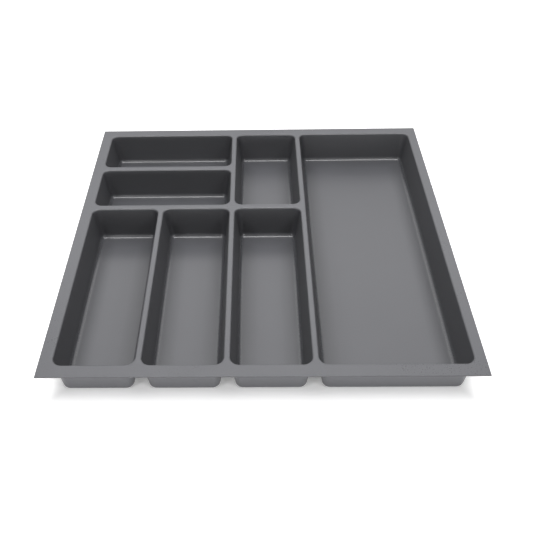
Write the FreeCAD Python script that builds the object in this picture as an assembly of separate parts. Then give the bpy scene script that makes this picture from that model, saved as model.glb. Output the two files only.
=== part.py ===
import FreeCAD
import Part
import math
import os

# Cutlery tray: a drawer insert formed from one thin plastic sheet.
# A flat deck, which is the rim and the dividers, carries seven open wells with drafted walls.
# Millimetres, +X to the right, +Y to the back of the drawer, +Z up.
# The origin is at the middle of the tray's box, on the surface that it stands on.

# Deck, seen from above
rim_left = 14.2
rim_right = 11.9
rim_front = 16.6
rim_back = 15.4
long_divider = 6.7
cross_divider = 9.2

# Mouths of the wells, measured at the deck's upper face
cutlery_width = 85.1
cutlery_length = 269.6
small_depth = 82.0
wide_width = 158.5

# Sheet and forming, drafts in degrees from upright
tray_height = 43.5
sheet = 1.5
side_draft = 9.0
end_draft = 6.0
mouth_corner_radius = 10.0
floor_radius = 6.0
foot_corner_margin = 0.4
lip_underside_radius = 0.5
lip_skirt = 4.0

# Sizes that follow from those above
cutlery_columns = 3
column_pitch = cutlery_width + long_divider
tray_width = rim_left + cutlery_columns * column_pitch + wide_width + rim_right
back_length = 2 * small_depth + cross_divider
tray_depth = rim_front + cutlery_length + cross_divider + back_length + rim_back
left_edge = -tray_width / 2
front_edge = -tray_depth / 2
lip_radius = lip_underside_radius + sheet
floor_underside_radius = floor_radius + sheet
foot_corner_radius = floor_radius + foot_corner_margin
deck_underside = tray_height - sheet
seam_height = tray_height - lip_radius - lip_skirt


def column(first, count=1):
    """Left and right edge of a mouth that spans some of the cutlery columns."""
    low = left_edge + rim_left + first * column_pitch
    return low, low + count * column_pitch - long_divider


def mouths():
    """Each well's mouth by name, as left, right, front and back edges on the deck."""
    front_low = front_edge + rim_front
    front_high = front_low + cutlery_length
    back_low = front_high + cross_divider
    back_high = back_low + back_length
    small_high = back_low + small_depth
    wide_low = column(cutlery_columns)[0]
    pair = column(0, 2)
    return {
        "cutlery_well_left": (*column(0), front_low, front_high),
        "cutlery_well_middle": (*column(1), front_low, front_high),
        "cutlery_well_right": (*column(2), front_low, front_high),
        "small_well_front": (*pair, back_low, small_high),
        "small_well_back": (*pair, small_high + cross_divider, back_high),
        "short_well": (*column(2), back_low, back_high),
        "wide_well": (wide_low, wide_low + wide_width, front_low, back_high),
    }


def rounded_outline(left, right, front, back, radius, height):
    """Closed wire of a rectangle with round corners, level at a height."""
    corners = (
        (right - radius, back - radius, 0),
        (left + radius, back - radius, 90),
        (left + radius, front + radius, 180),
        (right - radius, front + radius, 270),
    )
    arcs = []
    for x, y, start in corners:
        points = []
        for turn in (0, 45, 90):
            angle = math.radians(start + turn)
            points.append(FreeCAD.Vector(x + radius * math.cos(angle), y + radius * math.sin(angle), height))
        arcs.append(points)
    edges = []
    for points, next_points in zip(arcs, arcs[1:] + arcs[:1]):
        edges.append(Part.Arc(*points).toShape())
        edges.append(Part.LineSegment(points[-1], next_points[0]).toShape())
    return Part.Wire(edges)


def corner_radius(height):
    """Radius of the wells' upright corners, which narrow evenly from the mouth to the foot."""
    return foot_corner_radius + (mouth_corner_radius - foot_corner_radius) * height / tray_height


def drafted_block(mouth, top, bottom, thickness=0.0):
    """Solid between two heights whose sides follow the drafts from a mouth, thickened outwards."""
    left, right, front, back = mouth
    side = math.radians(side_draft)
    end = math.radians(end_draft)
    outlines = []
    for height in (bottom, top):
        drop = tray_height - height
        side_inset = drop * math.tan(side) - thickness / math.cos(side)
        end_inset = drop * math.tan(end) - thickness / math.cos(end)
        edges = (left + side_inset, right - side_inset, front + end_inset, back - end_inset)
        outlines.append(rounded_outline(*edges, corner_radius(height) + thickness, height))
    return Part.makeLoft(outlines, True, True)


def edges_at(shape, height):
    """Edges of a shape that lie level at a height."""
    near = 1e-4
    return [
        edge for edge in shape.Edges
        if abs(edge.BoundBox.ZMin - height) < near and abs(edge.BoundBox.ZMax - height) < near
    ]


def round_floor(block, height, radius):
    """Block with a fillet round its lower face."""
    return block.makeFillet(radius, edges_at(block, height))


def make_well(mouth):
    """Open box of one well, from the seam under the deck's lip down to its floor."""
    outside = round_floor(drafted_block(mouth, seam_height, 0.0, sheet), 0.0, floor_underside_radius)
    inside = round_floor(drafted_block(mouth, seam_height, sheet), sheet, floor_radius)
    return outside.cut(inside)


def mouth_edges(shape, height):
    """Level edges round the mouths, without the straight cut edges of the sheet."""
    def is_cut_edge(edge):
        box = edge.BoundBox
        return box.XLength > tray_width - lip_radius or box.YLength > tray_depth - lip_radius
    return [edge for edge in edges_at(shape, height) if not is_cut_edge(edge)]


def make_deck(all_mouths):
    """Rim and dividers in one sheet, with a lip that rolls over into every well."""
    corner = FreeCAD.Vector(left_edge, front_edge, deck_underside)
    deck = Part.makeBox(tray_width, tray_depth, sheet, corner)
    deck = deck.fuse([drafted_block(mouth, tray_height, seam_height, sheet) for mouth in all_mouths])
    deck = deck.cut([drafted_block(mouth, tray_height, seam_height) for mouth in all_mouths]).removeSplitter()
    deck = deck.makeFillet(lip_radius, mouth_edges(deck, tray_height))
    return deck.makeFillet(lip_underside_radius, mouth_edges(deck, deck_underside))


def main():
    os.makedirs("parts", exist_ok=True)
    wells = mouths()
    pieces = {name: make_well(mouth) for name, mouth in wells.items()}
    pieces["deck"] = make_deck(wells.values())
    for name, shape in pieces.items():
        box = shape.BoundBox
        print(name, "solids", len(shape.Solids), "valid", shape.isValid(), "volume", round(shape.Volume, 1),
              "box", [round(v, 2) for v in (box.XMin, box.YMin, box.ZMin, box.XMax, box.YMax, box.ZMax)])
        shape.exportStep("parts/" + name + ".step")


main()
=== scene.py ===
import math

import bpy
from mathutils import Matrix, Vector


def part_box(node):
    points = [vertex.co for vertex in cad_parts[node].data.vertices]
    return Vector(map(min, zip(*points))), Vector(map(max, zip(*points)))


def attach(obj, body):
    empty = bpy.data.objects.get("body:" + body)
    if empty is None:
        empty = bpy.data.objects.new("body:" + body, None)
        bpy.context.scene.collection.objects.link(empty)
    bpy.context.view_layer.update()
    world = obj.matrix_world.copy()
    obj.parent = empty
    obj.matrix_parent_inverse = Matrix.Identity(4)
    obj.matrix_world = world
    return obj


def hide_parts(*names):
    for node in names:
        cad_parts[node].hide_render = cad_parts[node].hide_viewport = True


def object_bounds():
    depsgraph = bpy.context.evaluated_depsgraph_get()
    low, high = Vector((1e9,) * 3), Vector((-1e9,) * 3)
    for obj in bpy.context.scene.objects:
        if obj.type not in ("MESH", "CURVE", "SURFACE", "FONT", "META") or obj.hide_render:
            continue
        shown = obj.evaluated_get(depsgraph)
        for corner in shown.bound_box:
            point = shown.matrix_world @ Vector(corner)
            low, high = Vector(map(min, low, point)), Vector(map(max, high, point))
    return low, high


bl_info = {
    "name": "Cutlery tray",
    "version": (1, 0, 0),
    "blender": (4, 5, 0),
    "location": "3D View > Sidebar > Cutlery tray",
    "description": "Builds a cutlery tray of formed satin plastic over its fixed frame",
    "category": "Object",
}

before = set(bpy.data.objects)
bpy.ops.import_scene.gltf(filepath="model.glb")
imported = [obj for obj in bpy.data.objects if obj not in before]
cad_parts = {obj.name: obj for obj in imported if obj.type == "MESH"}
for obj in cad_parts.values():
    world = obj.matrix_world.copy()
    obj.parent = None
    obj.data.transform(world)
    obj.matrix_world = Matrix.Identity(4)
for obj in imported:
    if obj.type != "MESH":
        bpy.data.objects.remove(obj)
frame_low, frame_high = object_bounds()
DECK = "deck"
WELLS = sorted(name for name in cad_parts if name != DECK)
SEAM_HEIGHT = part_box(DECK)[0].z
MERGE_DISTANCE = 2e-6
OUTLINE_MARGIN = 1e-4
ROW_MARGIN = 0.25
SHARP_ANGLE = math.radians(35)
CUT_STEPS = 2
NOISE_MEAN = 0.5
SENSOR_WIDTH = 36.0
SKIN_TREE = "Well skin"
CUT_WEIGHT = "bevel_weight_edge"


# Sizes, finish and stage that a user may change

class TraySizes(bpy.types.PropertyGroup):
    """Sizes of the formed sheet that the frame's boxes don't give."""

    sheet: bpy.props.FloatProperty(
        name="Sheet", description="Thickness of the plastic sheet",
        default=0.0015, unit="LENGTH", subtype="DISTANCE")
    side_draft: bpy.props.FloatProperty(
        name="Side draft", description="Lean of the left and right walls of every well",
        default=math.radians(9), subtype="ANGLE")
    end_draft: bpy.props.FloatProperty(
        name="End draft", description="Lean of the front and back walls of every well",
        default=math.radians(6), subtype="ANGLE")
    mouth_corner: bpy.props.FloatProperty(
        name="Mouth corner", description="Radius of a well's upright corners at the deck",
        default=0.010, unit="LENGTH", subtype="DISTANCE")
    foot_corner: bpy.props.FloatProperty(
        name="Foot corner", description="Radius of a well's upright corners at the bottom",
        default=0.0064, unit="LENGTH", subtype="DISTANCE")
    floor_radius: bpy.props.FloatProperty(
        name="Floor radius", description="Radius between a well's floor and its walls",
        default=0.006, unit="LENGTH", subtype="DISTANCE")
    lip_underside_radius: bpy.props.FloatProperty(
        name="Lip underside radius", description="Inner radius of the lip that rolls into a well",
        default=0.0005, unit="LENGTH", subtype="DISTANCE")
    # Also the width over which the painted shade at the walls' foot fades across the floor
    foot_band: bpy.props.FloatProperty(
        name="Foot band", description="Width over which the drawing fades from the walls' foot inwards",
        default=0.016, unit="LENGTH", subtype="DISTANCE")
    cut_edge: bpy.props.FloatProperty(
        name="Cut edge", description="Width of the broken edge where the sheet is trimmed",
        default=0.0002, unit="LENGTH", subtype="DISTANCE")
    corner_steps: bpy.props.IntProperty(
        name="Corner steps", description="Faces round one upright corner", default=14, min=2)
    rounding_steps: bpy.props.IntProperty(
        name="Rounding steps", description="Faces across one lip or floor rounding", default=12, min=2)


class TrayFinish(bpy.types.PropertyGroup):
    """Colour and surface of the satin plastic."""

    plastic: bpy.props.FloatVectorProperty(
        name="Plastic", description="Colour of the plastic", subtype="COLOR", size=3, min=0, max=1,
        default=(0.142, 0.144, 0.157))
    roughness: bpy.props.FloatProperty(
        name="Roughness", description="Roughness of the satin face", subtype="FACTOR",
        default=0.3, min=0, max=1)
    wall_roughness: bpy.props.FloatProperty(
        name="Wall roughness", description="Roughness that full drawing adds", subtype="FACTOR",
        default=0.3, min=0, max=1)
    bend_polish: bpy.props.FloatProperty(
        name="Bend polish", description="Share of the roughness that a stretched bend loses",
        subtype="FACTOR", default=0.5, min=0, max=1)
    lip_polish: bpy.props.FloatProperty(
        name="Lip polish", description="Polish of the lips against the bends at the wells' feet",
        subtype="FACTOR", default=0.2, min=0, max=1)
    # Painted shade: how much the drawing share darkens the wells, their outsides and the trimmed edge
    painted_wall_shade: bpy.props.FloatProperty(
        name="Wall shade", description="How much darker a fully drawn wall is than the level faces",
        subtype="FACTOR", default=0.57, min=0, max=1)
    shine: bpy.props.FloatProperty(
        name="Shine", description="Strength of the reflections", subtype="FACTOR",
        default=0.72, min=0, max=1)
    # Painted shade that darkens the well floors, besides their roughness from drawing
    floor_shaded_and_drawn: bpy.props.FloatProperty(
        name="Floor drawn", description="How far the floors are drawn, where the walls are one",
        subtype="FACTOR", default=0.2, min=0, max=1)
    # Painted shade on the floor along the walls' foot, besides its roughness from drawing
    foot_shaded_and_drawn: bpy.props.FloatProperty(
        name="Foot drawn", description="How far the floors are drawn at the foot of the walls",
        subtype="FACTOR", default=0.55, min=0, max=1)
    # Painted shade that darkens the wells' outsides towards the bottom, besides their roughness
    outside_shaded_and_drawn: bpy.props.FloatProperty(
        name="Outside drawn", description="How far the outside of the wells is drawn at the bottom",
        subtype="FACTOR", default=0.9, min=0, max=1)
    # Painted shade that darkens the trimmed edge, besides making it duller
    cut_shaded_and_drawn: bpy.props.FloatProperty(
        name="Cut drawn", description="How dark and dull the trimmed edge is, where the walls are one",
        subtype="FACTOR", default=1.0, min=0, max=1)
    grain: bpy.props.FloatProperty(
        name="Grain", description="Size of the moulded grain",
        default=0.0016, unit="LENGTH", subtype="DISTANCE")
    grain_depth: bpy.props.FloatProperty(
        name="Grain depth", description="Depth of the moulded grain",
        default=0.0002, unit="LENGTH", subtype="DISTANCE")
    grain_strength: bpy.props.FloatProperty(
        name="Grain strength", description="How strongly the grain tilts the surface", subtype="FACTOR",
        default=0.12, min=0, max=1)
    grain_tone: bpy.props.FloatProperty(
        name="Grain tone", description="How much the tone changes over the grain", default=0.16)
    grain_gloss: bpy.props.FloatProperty(
        name="Grain gloss", description="How much the roughness changes over the grain", default=0.12)
    mottle: bpy.props.FloatProperty(
        name="Mottle", description="Size of the soft cloudy patches",
        default=0.06, unit="LENGTH", subtype="DISTANCE")
    mottle_tone: bpy.props.FloatProperty(
        name="Mottle tone", description="How much the tone changes over the patches", default=0.08)
    mottle_gloss: bpy.props.FloatProperty(
        name="Mottle gloss", description="How much the roughness changes over the patches", default=0.08)


class TrayStage(bpy.types.PropertyGroup):
    """Floor, light and camera."""

    floor: bpy.props.FloatVectorProperty(
        name="Floor", description="Colour of the pale floor", subtype="COLOR", size=3, min=0, max=1,
        default=(0.93, 0.93, 0.93))
    floor_size: bpy.props.FloatProperty(
        name="Floor size", description="Side of the floor", default=8.0, unit="LENGTH", subtype="DISTANCE")
    floor_gap: bpy.props.FloatProperty(
        name="Floor gap", description="How far the floor lies below the wells, so that no faces coincide",
        default=0.0001, unit="LENGTH", subtype="DISTANCE")
    floor_lift: bpy.props.FloatProperty(
        name="Floor lift", description="Brightness added to the floor under the tray where it is seen",
        default=0.22)
    sky: bpy.props.FloatProperty(
        name="Sky", description="Brightness of the surroundings as reflections see them", default=0.4)
    backdrop: bpy.props.FloatProperty(
        name="Backdrop", description="Brightness of the surroundings, and added to the floor round the tray",
        default=0.8)
    shadow_start: bpy.props.FloatProperty(
        name="Shadow start", description="Distance inside the tray's outline where the lift starts to grow",
        default=0.024, unit="LENGTH", subtype="DISTANCE")
    shadow_reach: bpy.props.FloatProperty(
        name="Shadow reach", description="Distance outside the tray's outline at which the lift is full",
        default=0.005, unit="LENGTH", subtype="DISTANCE")
    lamp_level: bpy.props.FloatProperty(
        name="Lamp level", description="Share of their full power that all lamps give", default=1.0)
    camera_place: bpy.props.FloatVectorProperty(
        name="Camera place", description="Where the camera stands", subtype="TRANSLATION", unit="LENGTH",
        default=(-0.0032, -0.7475, 0.6205))
    camera_pitch: bpy.props.FloatProperty(
        name="Camera pitch", description="How far the camera looks down", subtype="ANGLE",
        default=math.radians(40.49))
    camera_yaw: bpy.props.FloatProperty(
        name="Camera yaw", description="How far the camera turns to the right", subtype="ANGLE",
        default=math.radians(-1.476))
    camera_roll: bpy.props.FloatProperty(
        name="Camera roll", description="How far the camera tips over to its right", subtype="ANGLE",
        default=math.radians(1.383))
    camera_lens: bpy.props.FloatProperty(
        name="Camera lens", description="Focal length in millimetres", default=51.06)
    camera_shift: bpy.props.FloatProperty(
        name="Camera shift", description="Sideways shift of the image as a share of its width",
        default=0.0447)


# Node trees written as sums

class Formula:
    """A number in a node tree. Sums made with it add the tree's own math nodes."""

    def __init__(self, tree, socket):
        self.tree = tree
        self.socket = socket

    def math(self, operation, *others):
        return math_node(self.tree, operation, self, *others)

    def __add__(self, other):
        return self.math("ADD", other)

    def __sub__(self, other):
        return self.math("SUBTRACT", other)

    def __rsub__(self, other):
        return math_node(self.tree, "SUBTRACT", other, self)

    def __mul__(self, other):
        return self.math("MULTIPLY", other)

    def __truediv__(self, other):
        return self.math("DIVIDE", other)

    __radd__ = __add__
    __rmul__ = __mul__


def connect(tree, value, socket):
    """Links a formula or an output to a socket, or sets the socket to a plain value."""
    if isinstance(value, Formula):
        tree.links.new(value.socket, socket)
    elif isinstance(value, bpy.types.NodeSocket):
        tree.links.new(value, socket)
    else:
        socket.default_value = value


def math_node(tree, operation, *values):
    """One math node, as a formula."""
    node = tree.nodes.new("ShaderNodeMath")
    node.operation = operation
    for value, socket in zip(values, node.inputs):
        connect(tree, value, socket)
    return Formula(tree, node.outputs[0])


def add_node(tree, kind, inputs=None, **settings):
    """A node with its settings, and with values or links for its named inputs."""
    node = tree.nodes.new(kind)
    for key, value in settings.items():
        setattr(node, key, value)
    for key, value in (inputs or {}).items():
        connect(tree, value, node.inputs[key])
    return node


def join(tree, parts):
    """All parts as one geometry."""
    node = tree.nodes.new("GeometryNodeJoinGeometry")
    for part in parts:
        tree.links.new(part, node.inputs[0])
    return node.outputs[0]


def flip(tree, mesh):
    """The mesh with its faces turned round."""
    return add_node(tree, "GeometryNodeFlipFaces", {"Mesh": mesh}).outputs[0]


def combine(tree, x, y, z):
    """A vector of three formulas or numbers."""
    return add_node(tree, "ShaderNodeCombineXYZ", {"X": x, "Y": y, "Z": z}).outputs[0]


def move(tree, geometry, offset):
    """The geometry moved by an offset."""
    return add_node(tree, "GeometryNodeTransform", {"Geometry": geometry, "Translation": offset}).outputs[0]


def attribute(tree, name):
    """A number stored on the points of a mesh, as a formula."""
    node = add_node(tree, "GeometryNodeInputNamedAttribute", {"Name": name}, data_type="FLOAT")
    return Formula(tree, node.outputs["Attribute"])


def store(tree, geometry, name, value, domain):
    """The geometry with a number stored under a name."""
    return add_node(tree, "GeometryNodeStoreNamedAttribute", {
        "Geometry": geometry, "Name": name, "Value": value}, data_type="FLOAT", domain=domain).outputs[0]


SOCKETS = {
    "length": ("NodeSocketFloat", "DISTANCE"),
    "angle": ("NodeSocketFloat", "ANGLE"),
    "number": ("NodeSocketFloat", "NONE"),
    "count": ("NodeSocketInt", "NONE"),
    "geometry": ("NodeSocketGeometry", None),
    "material": ("NodeSocketMaterial", None),
}


def start_tree(name, inputs):
    """A new tree with named inputs and one geometry output, and its inputs by name."""
    tree = bpy.data.node_groups.new(name, "GeometryNodeTree")
    tree.interface.new_socket("Geometry", in_out="OUTPUT", socket_type="NodeSocketGeometry")
    for label, kind in inputs.items():
        socket_type, subtype = SOCKETS[kind]
        socket = tree.interface.new_socket(label, in_out="INPUT", socket_type=socket_type)
        if subtype:
            socket.subtype = subtype
    enter = tree.nodes.new("NodeGroupInput")
    take = {}
    for label, kind in inputs.items():
        socket = enter.outputs[label]
        take[label] = socket if SOCKETS[kind][1] is None else Formula(tree, socket)
    return tree, take


def end_tree(tree, geometry):
    """Links the finished geometry to the tree's output."""
    leave = tree.nodes.new("NodeGroupOutput")
    tree.links.new(geometry, leave.inputs[0])
    return tree


# Skin: one face of the sheet, in rings that follow the well's rounded outline

FORM_INPUTS = {
    "Height": "length", "Seam": "length", "Side Draft": "angle", "End Draft": "angle",
    "Mouth Corner": "length", "Foot Corner": "length", "Corner Steps": "count", "Rounding Steps": "count",
}
# Way is 1 where the wall rises from its level plane, and -1 where it drops
SKIN_INPUTS = {
    "Width": "length", "Length": "length", "Thickness": "length", "Level": "length", "Rounding": "length",
    "Way": "number", "Floor Rows": "count", "Foot Band": "length", **FORM_INPUTS,
}


def skin_rows(tree, take):
    """A flat grid of unit cells, each point's count round the well, and its row from the rounding on."""
    ring_cells = (take["Corner Steps"] + 1) * 4
    row_cells = take["Rounding Steps"] + 1 + take["Floor Rows"]
    grid = add_node(tree, "GeometryNodeMeshGrid", {
        "Size X": ring_cells, "Size Y": row_cells,
        "Vertices X": ring_cells + 1, "Vertices Y": row_cells + 1})
    place = add_node(tree, "GeometryNodeInputPosition").outputs[0]
    parts = add_node(tree, "ShaderNodeSeparateXYZ", {"Vector": place})
    point = (Formula(tree, parts.outputs["X"]) + ring_cells / 2).math("ROUND")
    row = (Formula(tree, parts.outputs["Y"]) + row_cells / 2).math("ROUND") - take["Floor Rows"]
    return grid.outputs["Mesh"], point, row


def build_skin():
    """Tree of one face of a well: a rounding at a level plane, then the drafted wall to the seam."""
    tree, take = start_tree(SKIN_TREE, SKIN_INPUTS)
    grid, point, row = skin_rows(tree, take)
    rounding, way, thickness = take["Rounding"], take["Way"], take["Thickness"]
    drafts = {"X": take["Side Draft"], "Y": take["End Draft"]}

    steps = row.math("MAXIMUM", 0).math("MINIMUM", take["Rounding Steps"])
    full_turn = math.pi / 2 - drafts["X"].math("MINIMUM", drafts["Y"])
    turn = steps / take["Rounding Steps"] * full_turn
    off_plane = rounding * (1 - turn.math("COSINE"))
    at_seam = row.math("GREATER_THAN", take["Rounding Steps"])
    on_rounding = take["Level"] + way * off_plane
    height = on_rounding + (take["Seam"] - on_rounding) * at_seam
    corner = take["Foot Corner"] + thickness + (
        (take["Mouth Corner"] - take["Foot Corner"]) * height / take["Height"])

    quarter = (point / (take["Corner Steps"] + 1)).math("FLOOR")
    step = point - quarter * (take["Corner Steps"] + 1)
    angle = (quarter + step / take["Corner Steps"]) * (math.pi / 2)
    middle = (quarter + 0.5) * (math.pi / 2)
    # Row -1 is the inner edge of the foot band, and row -2 the middle of the floor
    on_floor = row.math("LESS_THAN", -1 + ROW_MARGIN)
    off_middle = row.math("GREATER_THAN", -2 + ROW_MARGIN)
    place = {}
    for axis, span, wave in (("X", "Width", "COSINE"), ("Y", "Length", "SINE")):
        draft = drafts[axis]
        slope = draft.math("TANGENT")
        shift = thickness / draft.math("COSINE")
        wall = (take["Height"] - height) * slope - shift
        edge = (take["Height"] - take["Level"]) * slope - shift
        reach = rounding * (math.pi / 4 - draft / 2).math("TANGENT")
        arc = edge + way * (reach - rounding * turn.math("SINE"))
        before_wall = off_plane.math("LESS_THAN", rounding * (1 - draft.math("SINE"))) * (1 - at_seam)
        inset = wall + (arc - wall) * before_wall
        corner_middle = take[span] / 2 - wall - corner
        side = middle.math(wave).math("SIGN")
        bent = (corner + wall - inset) * angle.math(wave)
        level = side * (corner_middle - take["Foot Band"]) * off_middle
        place[axis] = level * on_floor + (side * corner_middle + bent) * (1 - on_floor)

    round_corner = (step / take["Corner Steps"] * math.pi).math("SINE")
    for name, value in (("row", row), ("corner", round_corner)):
        grid = store(tree, grid, name, value, "POINT")
    shaped = add_node(tree, "GeometryNodeSetPosition", {
        "Geometry": grid, "Position": combine(tree, place["X"], place["Y"], height)})
    closed = add_node(tree, "GeometryNodeMergeByDistance", {
        "Geometry": shaped.outputs[0], "Distance": MERGE_DISTANCE})
    return end_tree(tree, closed.outputs[0])


def add_skin(tree, take, width, length, **values):
    """One face of a well in another tree, shaped by that tree's inputs and by the values given."""
    node = tree.nodes.new("GeometryNodeGroup")
    node.node_tree = bpy.data.node_groups.get(SKIN_TREE) or build_skin()
    shared = {label: take[label] for label in FORM_INPUTS}
    own = {label.replace("_", " ").title(): value for label, value in values.items()}
    for label, value in {"Width": width, "Length": length, **shared, **own}.items():
        connect(tree, value, node.inputs[label])
    return node.outputs[0]


def mark_shaded_and_drawn(tree, take, skin, least, foot, polish):
    """The skin with its drawing share, for roughness and painted shade, and how much its bends were polished.

    The share goes from the least in the middle through the foot's own value to one on the walls,
    so the painted shade is deepest on the walls and round their foot.
    """
    row = attribute(tree, "row")
    share = (row / take["Rounding Steps"]).math("MAXIMUM", 0).math("MINIMUM", 1)
    near_foot = (row + 1).math("MAXIMUM", 0).math("MINIMUM", 1)
    shaded_and_drawn = near_foot * (foot - least) + share * (1 - foot) + least
    bend = (share * math.pi).math("SINE").math("MAXIMUM", attribute(tree, "corner") * share) * polish
    for name, value in (("shaded_and_drawn", shaded_and_drawn), ("bend", bend)):
        skin = store(tree, skin, name, value, "CORNER")
    return skin


def mark_outside(tree, take, skin):
    """The outer skin with its drawing share, from nothing at the seam to the most at the bottom,
    for roughness and for painted shade that darkens the outside towards the bottom.
    """
    place = add_node(tree, "GeometryNodeInputPosition").outputs[0]
    height = Formula(tree, add_node(tree, "ShaderNodeSeparateXYZ", {"Vector": place}).outputs["Z"])
    shaded_and_drawn = (1 - height / take["Seam"]) * take["Outside Shaded And Drawn"]
    return store(tree, skin, "shaded_and_drawn", shaded_and_drawn, "CORNER")


def add_flat(tree, rings, selection, height, outline=None):
    """A level face between chosen edges of some skins, and an outer outline if there is one."""
    curves = add_node(tree, "GeometryNodeMeshToCurve", {"Mesh": rings, "Selection": selection}).outputs[0]
    if outline:
        curves = join(tree, [curves, outline])
    filled = add_node(tree, "GeometryNodeFillCurve", {"Curve": curves}, mode="TRIANGLES").outputs[0]
    return move(tree, filled, combine(tree, 0, 0, height))


def dress(tree, take, geometry, spent=("row", "corner")):
    """Smooth faces with sharp trimmed edges, without the spent attributes, and the material."""
    merged = add_node(tree, "GeometryNodeMergeByDistance", {
        "Geometry": geometry, "Distance": MERGE_DISTANCE}).outputs[0]
    bent = Formula(tree, add_node(tree, "GeometryNodeInputMeshEdgeAngle").outputs["Unsigned Angle"])
    smooth = add_node(tree, "GeometryNodeSetShadeSmooth", {"Geometry": merged}, domain="FACE").outputs[0]
    sharp = add_node(tree, "GeometryNodeSetShadeSmooth", {
        "Geometry": smooth, "Selection": bent.math("GREATER_THAN", SHARP_ANGLE), "Shade Smooth": False},
        domain="EDGE").outputs[0]
    for name in spent:
        sharp = add_node(tree, "GeometryNodeRemoveAttribute", {"Geometry": sharp, "Name": name}).outputs[0]
    real = add_node(tree, "GeometryNodeRealizeInstances", {"Geometry": sharp}).outputs[0]
    painted = add_node(tree, "GeometryNodeSetMaterial", {"Geometry": real, "Material": take["Material"]})
    return end_tree(tree, painted.outputs[0])


def edges_at_seam(tree, take):
    """Picks the edges with both ends in the row at the seam, which follows the last row of the rounding."""
    return attribute(tree, "row").math("GREATER_THAN", take["Rounding Steps"] + 1 - ROW_MARGIN)


def build_well_tree():
    """Tree of one well: an inner and an outer skin that meet in a flat ring at the seam."""
    tree, take = start_tree("Tray well", {
        "Width": "length", "Length": "length", "Centre X": "length", "Centre Y": "length",
        "Sheet": "length", "Floor Radius": "length", "Foot Band": "length", "Floor Shaded And Drawn": "number",
        "Foot Shaded And Drawn": "number", "Outside Shaded And Drawn": "number", "Material": "material", **FORM_INPUTS})
    mouth = (take["Width"], take["Length"])
    foot = {"way": 1.0, "floor_rows": 2, "foot_band": take["Foot Band"]}
    inner = add_skin(tree, take, *mouth, thickness=0.0, level=take["Sheet"],
                     rounding=take["Floor Radius"], **foot)
    outer = add_skin(tree, take, *mouth, thickness=take["Sheet"], level=0.0,
                     rounding=take["Floor Radius"] + take["Sheet"], **foot)
    seam = add_flat(tree, join(tree, [inner, outer]), edges_at_seam(tree, take), take["Seam"])
    # Painted shade inside the well: light on the floor, deeper round the walls' foot, deepest on the walls
    inside = mark_shaded_and_drawn(tree, take, inner, take["Floor Shaded And Drawn"], take["Foot Shaded And Drawn"], 1.0)
    well = join(tree, [flip(tree, inside), mark_outside(tree, take, outer), seam])
    return dress(tree, take, move(tree, well, combine(tree, take["Centre X"], take["Centre Y"], 0)))


def add_lips(tree, take):
    """The upper and lower face of the lip round every mouth, from points that carry the mouths' sizes."""
    enter = tree.nodes.new("GeometryNodeForeachGeometryElementInput")
    leave = tree.nodes.new("GeometryNodeForeachGeometryElementOutput")
    enter.pair_with_output(leave)
    leave.domain = "POINT"
    leave.input_items.new("VECTOR", "Place")
    leave.input_items.new("FLOAT", "Mouth Width")
    leave.input_items.new("FLOAT", "Mouth Length")
    leave.generation_items.new("GEOMETRY", "Underside")
    tree.links.new(take["Mouths"], enter.inputs["Geometry"])
    tree.links.new(add_node(tree, "GeometryNodeInputPosition").outputs[0], enter.inputs["Place"])
    connect(tree, attribute(tree, "mouth_width"), enter.inputs["Mouth Width"])
    connect(tree, attribute(tree, "mouth_length"), enter.inputs["Mouth Length"])
    mouth = (enter.outputs["Mouth Width"], enter.outputs["Mouth Length"])
    roll = {"way": -1.0, "floor_rows": 0}
    upper = add_skin(tree, take, *mouth, thickness=0.0, level=take["Height"],
                     rounding=take["Lip Underside Radius"] + take["Sheet"], **roll)
    lower = add_skin(tree, take, *mouth, thickness=take["Sheet"], level=take["Height"] - take["Sheet"],
                     rounding=take["Lip Underside Radius"], **roll)
    generated = [socket for socket in leave.inputs if socket.type == "GEOMETRY"]
    for lip, socket in zip((upper, lower), generated):
        tree.links.new(move(tree, lip, enter.outputs["Place"]), socket)
    # The first geometry that comes out is the points themselves
    return [socket for socket in leave.outputs if socket.type == "GEOMETRY"][1:]


def mark_cut_edges(tree, take, geometry):
    """Weight on the edges of the trimmed outline, for the bevel that breaks them."""
    merged = add_node(tree, "GeometryNodeMergeByDistance", {
        "Geometry": geometry, "Distance": MERGE_DISTANCE}).outputs[0]
    place = add_node(tree, "GeometryNodeInputPosition").outputs[0]
    parts = add_node(tree, "ShaderNodeSeparateXYZ", {"Vector": place})
    across = Formula(tree, parts.outputs["X"]).math("ABSOLUTE") - take["Deck Width"] / 2 + OUTLINE_MARGIN
    along = Formula(tree, parts.outputs["Y"]).math("ABSOLUTE") - take["Deck Length"] / 2 + OUTLINE_MARGIN
    on_outline = across.math("MAXIMUM", along).math("GREATER_THAN", 0)
    return store(tree, merged, CUT_WEIGHT, on_outline, "EDGE")


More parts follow.
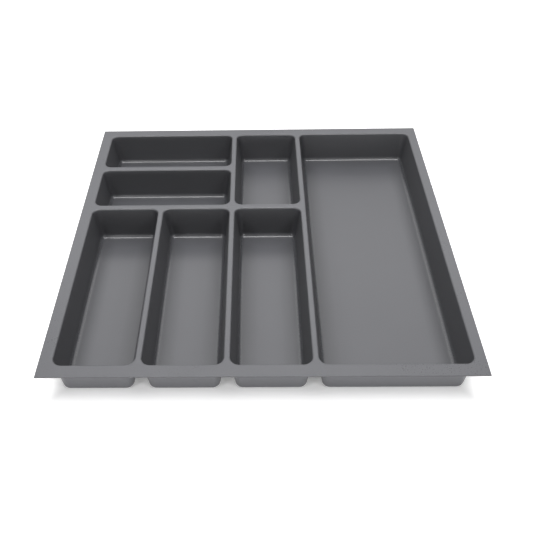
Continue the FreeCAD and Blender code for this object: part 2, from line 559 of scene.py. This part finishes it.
def build_deck_tree():
    """Tree of the deck: a level plate with a lip that rolls into every mouth, trimmed to a rectangle."""
    tree, take = start_tree("Tray deck", {
        "Mouths": "geometry", "Deck Width": "length", "Deck Length": "length", "Sheet": "length",
        "Lip Underside Radius": "length", "Lip Polish": "number", "Cut Shaded And Drawn": "number",
        "Material": "material", **FORM_INPUTS})
    upper, lower = add_lips(tree, take)
    at_plate = attribute(tree, "row").math("LESS_THAN", ROW_MARGIN)
    outline = add_node(tree, "GeometryNodeCurvePrimitiveQuadrilateral", {
        "Width": take["Deck Width"], "Height": take["Deck Length"]}).outputs[0]
    underside = take["Height"] - take["Sheet"]
    top = add_flat(tree, upper, at_plate, take["Height"], outline)
    bottom = add_flat(tree, lower, at_plate, underside, outline)
    seam = add_flat(tree, join(tree, [upper, lower]), edges_at_seam(tree, take), take["Seam"])
    trim = add_node(tree, "GeometryNodeExtrudeMesh", {
        "Mesh": add_node(tree, "GeometryNodeCurveToMesh", {"Curve": outline}).outputs[0],
        "Offset": combine(tree, 0, 0, take["Sheet"]), "Offset Scale": 1.0}, mode="EDGES").outputs["Mesh"]
    trim = move(tree, trim, combine(tree, 0, 0, underside))
    # The trimmed edge gets painted shade, darker and duller like a full wall
    trim = store(tree, trim, "shaded_and_drawn", take["Cut Shaded And Drawn"], "CORNER")
    # The lip darkens as it rolls into the well, the same painted shade as the walls
    lips = mark_shaded_and_drawn(tree, take, upper, 0.0, 0.0, take["Lip Polish"])
    turned = [flip(tree, face) for face in (lower, bottom, seam, trim)]
    deck = mark_cut_edges(tree, take, join(tree, [lips, top, *turned]))
    return dress(tree, take, deck, ("row", "corner", "mouth_width", "mouth_length"))


# Pieces

def form_values(sizes):
    """The sizes that every tree shares, by the names of its inputs."""
    return {
        "Height": frame_high.z, "Seam": SEAM_HEIGHT, "Sheet": sizes.sheet,
        "Side Draft": sizes.side_draft, "End Draft": sizes.end_draft,
        "Mouth Corner": sizes.mouth_corner, "Foot Corner": sizes.foot_corner,
        "Corner Steps": sizes.corner_steps, "Rounding Steps": sizes.rounding_steps,
    }


def mouth_of(well, sizes):
    """Middle, width and length of a well's mouth on the deck, from the frame's box of that well."""
    low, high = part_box(well)
    drop = frame_high.z - high.z
    size = []
    for span, draft in ((high.x - low.x, sizes.side_draft), (high.y - low.y, sizes.end_draft)):
        size.append(span + 2 * (drop * math.tan(draft) - sizes.sheet / math.cos(draft)))
    return (low + high) / 2, *size


def make_piece(name, start, tree, values, cut_edge=0.0):
    """Object whose plain mesh a tree has made from named values, with flat faces shaded flat."""
    piece = bpy.data.objects.new(name, start)
    bpy.context.scene.collection.objects.link(piece)
    maker = piece.modifiers.new(tree.name, "NODES")
    maker.node_group = tree
    for item in tree.interface.items_tree:
        if item.item_type == "SOCKET" and item.in_out == "INPUT" and item.name in values:
            maker[item.identifier] = values[item.name]
    if cut_edge:
        bevel = piece.modifiers.new("Cut edge", "BEVEL")
        bevel.limit_method = "WEIGHT"
        bevel.width = cut_edge
        bevel.segments = CUT_STEPS
    flats = piece.modifiers.new("Flat faces", "WEIGHTED_NORMAL")
    flats.keep_sharp = True
    graph = bpy.context.evaluated_depsgraph_get()
    made = piece.evaluated_get(graph)
    mesh = bpy.data.meshes.new_from_object(made, preserve_all_data_layers=True, depsgraph=graph)
    if cut_edge:
        mesh.attributes.remove(mesh.attributes[CUT_WEIGHT])
    piece.modifiers.clear()
    piece.data = mesh
    return piece


def fit_to_frame(piece, node):
    """Lets a piece stand for its node of the frame and move with it."""
    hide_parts(node)
    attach(piece, "root")


# Material

def satin_plastic(finish):
    """Grey plastic with a fine moulded grain, cloudy patches, smoother bends, and walls made duller by
    drawing and darker by painted shade.
    """
    material = bpy.data.materials.get("satin_plastic")
    if material:
        return material
    material = bpy.data.materials.new("satin_plastic")
    material.use_nodes = True
    tree = material.node_tree
    shader = tree.nodes["Principled BSDF"]
    place = add_node(tree, "ShaderNodeTexCoord").outputs["Object"]
    grain = add_node(tree, "ShaderNodeTexNoise", {
        "Vector": place, "Scale": 1 / finish.grain, "Detail": 3.0, "Roughness": 0.6})
    clouds = add_node(tree, "ShaderNodeTexNoise", {
        "Vector": place, "Scale": 1 / finish.mottle, "Detail": 2.0, "Roughness": 0.5})
    shaded_and_drawn = Formula(tree, add_node(tree, "ShaderNodeAttribute", attribute_name="shaded_and_drawn").outputs["Fac"])
    bend = Formula(tree, add_node(tree, "ShaderNodeAttribute", attribute_name="bend").outputs["Fac"])
    grain_level = Formula(tree, grain.outputs["Fac"]) - NOISE_MEAN
    cloud_level = Formula(tree, clouds.outputs["Fac"]) - NOISE_MEAN
    # The drawing share darkens the tone as painted shade on the wells' walls and floors, round their foot,
    # low on their outsides and on the trimmed edge
    tone = grain_level * finish.grain_tone + cloud_level * finish.mottle_tone - shaded_and_drawn * finish.painted_wall_shade + 1
    colour = add_node(tree, "ShaderNodeMix", data_type="RGBA", blend_type="MULTIPLY")
    factor = colour.inputs[0]
    first, second = [socket for socket in colour.inputs if socket.type == "RGBA"]
    connect(tree, 1.0, factor)
    connect(tree, (*finish.plastic, 1.0), first)
    connect(tree, combine(tree, tone, tone, tone), second)
    mixed = next(socket for socket in colour.outputs if socket.type == "RGBA")
    connect(tree, mixed, shader.inputs["Base Color"])
    dull = (shaded_and_drawn * shaded_and_drawn * finish.wall_roughness + finish.roughness) * (1 - bend * finish.bend_polish)
    roughness = grain_level * finish.grain_gloss + cloud_level * finish.mottle_gloss + dull
    connect(tree, roughness, shader.inputs["Roughness"])
    bump = add_node(tree, "ShaderNodeBump", {
        "Height": grain.outputs["Fac"], "Strength": finish.grain_strength, "Distance": finish.grain_depth})
    connect(tree, bump.outputs[0], shader.inputs["Normal"])
    shader.inputs["Specular IOR Level"].default_value = finish.shine
    shader.inputs["IOR"].default_value = 1.5
    return material


def seen_rays(tree):
    """Two formulas: one for rays from the camera, and one for reflected or refracted rays."""
    rays = add_node(tree, "ShaderNodeLightPath").outputs
    reflected = Formula(tree, rays["Is Glossy Ray"]).math("MAXIMUM", rays["Is Transmission Ray"])
    return Formula(tree, rays["Is Camera Ray"]), reflected


def floor_white(stage):
    """Pale matt floor that keeps shadows and is lifted towards white away from the tray.

    The lower lift under and round the tray is painted shadow. Only the camera and reflections see the lift.
    """
    material = bpy.data.materials.new("floor_white")
    material.use_nodes = True
    tree = material.node_tree
    tree.nodes.clear()
    matt = add_node(tree, "ShaderNodeBsdfDiffuse", {"Color": (*stage.floor, 1.0)})
    place = add_node(tree, "ShaderNodeTexCoord").outputs["Object"]
    parts = add_node(tree, "ShaderNodeSeparateXYZ", {"Vector": place})
    beside = Formula(tree, parts.outputs["X"]).math("ABSOLUTE") - frame_high.x
    before = Formula(tree, parts.outputs["Y"]).math("ABSOLUTE") - frame_high.y
    # Painted shadow: the glow is dimmer under the tray and grows to the backdrop's level just outside its
    # outline
    lift = add_node(tree, "ShaderNodeMapRange", {
        "Value": beside.math("MAXIMUM", before),
        "From Min": -stage.shadow_start, "From Max": stage.shadow_reach,
        "To Min": stage.floor_lift, "To Max": stage.backdrop}, interpolation_type="SMOOTHSTEP")
    camera, reflected = seen_rays(tree)
    seen = camera.math("MAXIMUM", reflected)
    glow = add_node(tree, "ShaderNodeEmission", {"Strength": seen * lift.outputs["Result"]})
    both = tree.nodes.new("ShaderNodeAddShader")
    connect(tree, matt.outputs[0], both.inputs[0])
    connect(tree, glow.outputs[0], both.inputs[1])
    add_node(tree, "ShaderNodeOutputMaterial", {"Surface": both.outputs[0]})
    return material


# Stage

def add_floor(stage):
    """Square floor under the tray."""
    half = stage.floor_size / 2
    corners = [(x * half, y * half, -stage.floor_gap) for x, y in ((-1, -1), (1, -1), (1, 1), (-1, 1))]
    mesh = bpy.data.meshes.new("floor")
    mesh.from_pydata(corners, [], [(0, 1, 2, 3)])
    mesh.materials.append(floor_white(stage))
    floor = bpy.data.objects.new("floor", mesh)
    bpy.context.scene.collection.objects.link(floor)


# Places and sizes in metres, powers in watts
LAMPS = {
    "key": {"place": (0, 0.04, 0.8), "facing": (0, 0, -1), "size": (0.9, 0.24), "power": 5.3},
    "softbox_left": {"place": (-0.6, -0.8, 0.78), "facing": (0, 0, -1), "size": (0.24, 0.2), "power": 3.6},
    "softbox_right": {"place": (0.6, -0.8, 0.78), "facing": (0, 0, -1), "size": (0.24, 0.2), "power": 3.2},
    "overhead_back": {"place": (0, 0.75, 0.8), "facing": (0, 0, -1), "size": (1.8, 0.8), "power": 3.2},
    "back_panel": {"place": (0, 1.1, 0.7), "facing": (0, -1, 0), "size": (1.8, 1.2), "power": 3.6},
    "front_card": {"place": (0, -1.0, 0.065), "facing": (0, 1, 0), "size": (1.24, 0.11), "power": 5.0},
}


def add_lamp(name, place, facing, size, power):
    """Rectangular soft lamp, level along its width, that faces a direction."""
    light = bpy.data.lights.new(name, "AREA")
    light.shape = "RECTANGLE"
    light.size, light.size_y = size
    light.energy = power
    lamp = bpy.data.objects.new(name, light)
    lamp.location = place
    lamp.rotation_euler = Vector(facing).to_track_quat("-Z", "Y").to_euler()
    bpy.context.scene.collection.objects.link(lamp)


def add_sky(stage):
    """Plain white surroundings that only the camera and reflections see."""
    world = bpy.data.worlds.new("surroundings")
    world.use_nodes = True
    tree = world.node_tree
    plain = tree.nodes["Background"]
    plain.inputs["Color"].default_value = (1.0, 1.0, 1.0, 1.0)
    camera, reflected = seen_rays(tree)
    connect(tree, camera * stage.backdrop + reflected * stage.sky, plain.inputs["Strength"])
    bpy.context.scene.world = world


def add_camera(stage):
    """Camera in front of the tray, looking down into it."""
    data = bpy.data.cameras.new("camera")
    data.sensor_width = SENSOR_WIDTH
    data.lens = stage.camera_lens
    data.shift_x = stage.camera_shift
    camera = bpy.data.objects.new("camera", data)
    turn = Matrix.Rotation(-stage.camera_yaw, 4, "Z")
    tilt = Matrix.Rotation(math.pi / 2 - stage.camera_pitch, 4, "X")
    tip = Matrix.Rotation(-stage.camera_roll, 4, "Z")
    camera.matrix_world = Matrix.Translation(stage.camera_place) @ turn @ tilt @ tip
    bpy.context.scene.collection.objects.link(camera)
    bpy.context.scene.camera = camera


# Operators and panel

class TRAY_OT_wells(bpy.types.Operator):
    """Builds the open wells that hang below the deck"""

    bl_idname = "tray.wells"
    bl_label = "Build wells"

    def execute(self, context):
        sizes = context.scene.tray_sizes
        finish = context.scene.tray_finish
        tree = build_well_tree()
        for well in WELLS:
            middle, width, length = mouth_of(well, sizes)
            values = {
                **form_values(sizes), "Width": width, "Length": length,
                "Centre X": middle.x, "Centre Y": middle.y,
                "Floor Radius": sizes.floor_radius, "Foot Band": sizes.foot_band,
                "Floor Shaded And Drawn": finish.floor_shaded_and_drawn, "Foot Shaded And Drawn": finish.foot_shaded_and_drawn,
                "Outside Shaded And Drawn": finish.outside_shaded_and_drawn, "Material": satin_plastic(finish),
            }
            piece = make_piece("formed_" + well, bpy.data.meshes.new(well), tree, values)
            fit_to_frame(piece, well)
        return {"FINISHED"}


class TRAY_OT_deck(bpy.types.Operator):
    """Builds the rim and dividers with the lip that rolls into every well"""

    bl_idname = "tray.deck"
    bl_label = "Build deck"

    def execute(self, context):
        sizes = context.scene.tray_sizes
        finish = context.scene.tray_finish
        mouths = [mouth_of(well, sizes) for well in WELLS]
        points = bpy.data.meshes.new("mouths")
        points.from_pydata([(middle.x, middle.y, 0) for middle, width, length in mouths], [], [])
        for index, label in enumerate(("mouth_width", "mouth_length"), start=1):
            stored = points.attributes.new(label, "FLOAT", "POINT")
            for spot, mouth in zip(stored.data, mouths):
                spot.value = mouth[index]
        low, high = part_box(DECK)
        values = {
            **form_values(sizes), "Deck Width": high.x - low.x, "Deck Length": high.y - low.y,
            "Lip Underside Radius": sizes.lip_underside_radius, "Lip Polish": finish.lip_polish,
            "Cut Shaded And Drawn": finish.cut_shaded_and_drawn, "Material": satin_plastic(finish),
        }
        piece = make_piece("formed_deck", points, build_deck_tree(), values, sizes.cut_edge)
        fit_to_frame(piece, DECK)
        return {"FINISHED"}


class TRAY_OT_stage(bpy.types.Operator):
    """Adds the floor, the lights and the camera"""

    bl_idname = "tray.stage"
    bl_label = "Set the stage"

    def execute(self, context):
        stage = context.scene.tray_stage
        add_floor(stage)
        for name, lamp in LAMPS.items():
            add_lamp(name, lamp["place"], lamp["facing"], lamp["size"], lamp["power"] * stage.lamp_level)
        add_sky(stage)
        add_camera(stage)
        context.scene.view_settings.view_transform = "Standard"
        return {"FINISHED"}


class TRAY_PT_panel(bpy.types.Panel):
    """Lists the tray's sizes, finish, stage and build steps"""

    bl_idname = "TRAY_PT_panel"
    bl_label = "Cutlery tray"
    bl_space_type = "VIEW_3D"
    bl_region_type = "UI"
    bl_category = "Cutlery tray"

    def draw(self, context):
        for group in (context.scene.tray_sizes, context.scene.tray_finish, context.scene.tray_stage):
            box = self.layout.box()
            for name in group.__annotations__:
                box.prop(group, name)
        for step in STEPS:
            self.layout.operator(step.bl_idname)


GROUPS = {"tray_sizes": TraySizes, "tray_finish": TrayFinish, "tray_stage": TrayStage}
STEPS = (TRAY_OT_wells, TRAY_OT_deck, TRAY_OT_stage)
CLASSES = (*GROUPS.values(), *STEPS, TRAY_PT_panel)


def register():
    for cls in CLASSES:
        bpy.utils.register_class(cls)
    for name, group in GROUPS.items():
        setattr(bpy.types.Scene, name, bpy.props.PointerProperty(type=group))


def unregister():
    for name in GROUPS:
        delattr(bpy.types.Scene, name)
    for cls in reversed(CLASSES):
        bpy.utils.unregister_class(cls)


def main():
    """Builds the tray and its stage."""
    register()
    bpy.ops.tray.wells()
    bpy.ops.tray.deck()
    bpy.ops.tray.stage()


if __name__ == "__main__":
    main()
